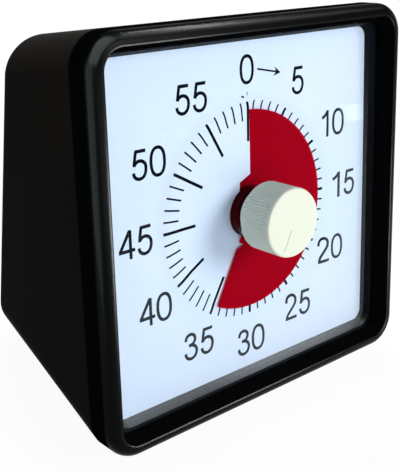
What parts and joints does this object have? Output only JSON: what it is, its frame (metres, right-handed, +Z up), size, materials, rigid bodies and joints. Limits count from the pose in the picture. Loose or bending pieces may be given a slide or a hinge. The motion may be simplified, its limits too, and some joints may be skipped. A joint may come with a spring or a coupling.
{
  "type": "visual countdown timer",
  "caption": "Square-faced desk timer with a numbered white dial, a red disc that shows the time left, and a ribbed knob.",
  "frame": {"origin": "middle of the bounding box's bottom, on the surface that the rubber feet stand on", "axes": "+X to the right of someone who looks at the dial, -Y towards that person, +Z up"},
  "size_m": [0.14, 0.0868, 0.1345],
  "materials": {
    "bezel_black": "gloss",
    "lens_clear": "polished clear acrylic",
    "retainer_black": "gloss",
    "dial_white": "satin white sheet, printed",
    "case_black": "satin, fine moulded grain",
    "foot_rubber": "matte",
    "disc_red": "translucent red sheet",
    "hub_red": "dark red",
    "knob_white": "satin gloss",
    "collar_white": "satin gloss",
    "spindle_steel": "turned",
    "chassis_grey": "moulded",
    "movement_white": "moulded",
    "gear_acetal": "moulded acetal",
    "lamination": "stamped",
    "winding_copper": "enamelled copper",
    "board_green": "solder mask",
    "chip_black": "moulded",
    "cell_sleeve": "plain sleeve",
    "contact_steel": "nickel plated",
    "screw_black": "black zinc",
    "screw_steel": "zinc plated",
    "switch_grey": "satin",
    "buzzer_black": "moulded",
    "magnet_grey": "sintered ferrite"
  },
  "bodies": {
    "case": {"front_bezel": "bezel_black", "lens": "lens_clear", "lens_retainer": "retainer_black", "dial_plate": "dial_white", "rear_case": "case_black", "rubber_feet": "foot_rubber", "chassis_plate": "chassis_grey", "chassis_screws": "screw_steel", "case_screws": "screw_black", "movement_base": "movement_white", "movement_cover": "movement_white", "movement_screws": "screw_steel", "gear_arbors": "spindle_steel", "stator": "lamination", "coil_bobbin": "movement_white", "coil_winding": "winding_copper", "circuit_board": "board_green", "quartz_crystal": "contact_steel", "clock_chip": "chip_black", "battery_tray": "case_black", "contact_plate": "contact_steel", "contact_spring": "contact_steel", "battery_cell": "cell_sleeve", "buzzer": "buzzer_black", "switch_body": "buzzer_black"},
    "knob_set": {"knob": "knob_white", "knob_collar": "collar_white", "spindle": "spindle_steel", "drive_gear": "gear_acetal"},
    "disc_set": {"time_disc": "disc_red", "disc_hub": "hub_red"},
    "intermediate": {"intermediate_gear": "gear_acetal"},
    "rotor": {"rotor_gear": "gear_acetal", "rotor_magnet": "magnet_grey"},
    "door": {"battery_door": "case_black"},
    "switch_slider": {"sound_switch": "switch_grey"}
  },
  "joints": [
    {"name": "knob_turn", "type": "hinge", "parent": "case", "child": "knob_set", "pos_m": [0, -0.01604, 0.06674], "axis": [0, 0.9668, -0.2554], "range_deg": [-207, 153]},
    {"name": "disc_feed", "type": "slide", "parent": "knob_set", "child": "disc_set", "axis": [0, -0.9668, 0.2554], "range_m": [-0.00138, 0.00102]},
    {"name": "intermediate_spin", "type": "hinge", "parent": "case", "child": "intermediate", "pos_m": [0.01014, -0.01116, 0.08518], "axis": [0, 0.9668, -0.2554], "continuous": true},
    {"name": "rotor_spin", "type": "hinge", "parent": "case", "child": "rotor", "pos_m": [-0.00586, -0.01116, 0.08518], "axis": [0, 0.9668, -0.2554], "continuous": true},
    {"name": "door_off", "type": "slide", "parent": "case", "child": "door", "axis": [0, 1, 0], "range_m": [0, 0.03]},
    {"name": "switch_slide", "type": "slide", "parent": "case", "child": "switch_slider", "axis": [1, 0, 0], "range_m": [0, 0.004]}
  ],
  "couplings": [
    {"joint": "disc_feed", "follows": "knob_turn", "m_per_rad": 0.00038197},
    {"joint": "intermediate_spin", "follows": "knob_turn", "ratio": -5}
  ]
}
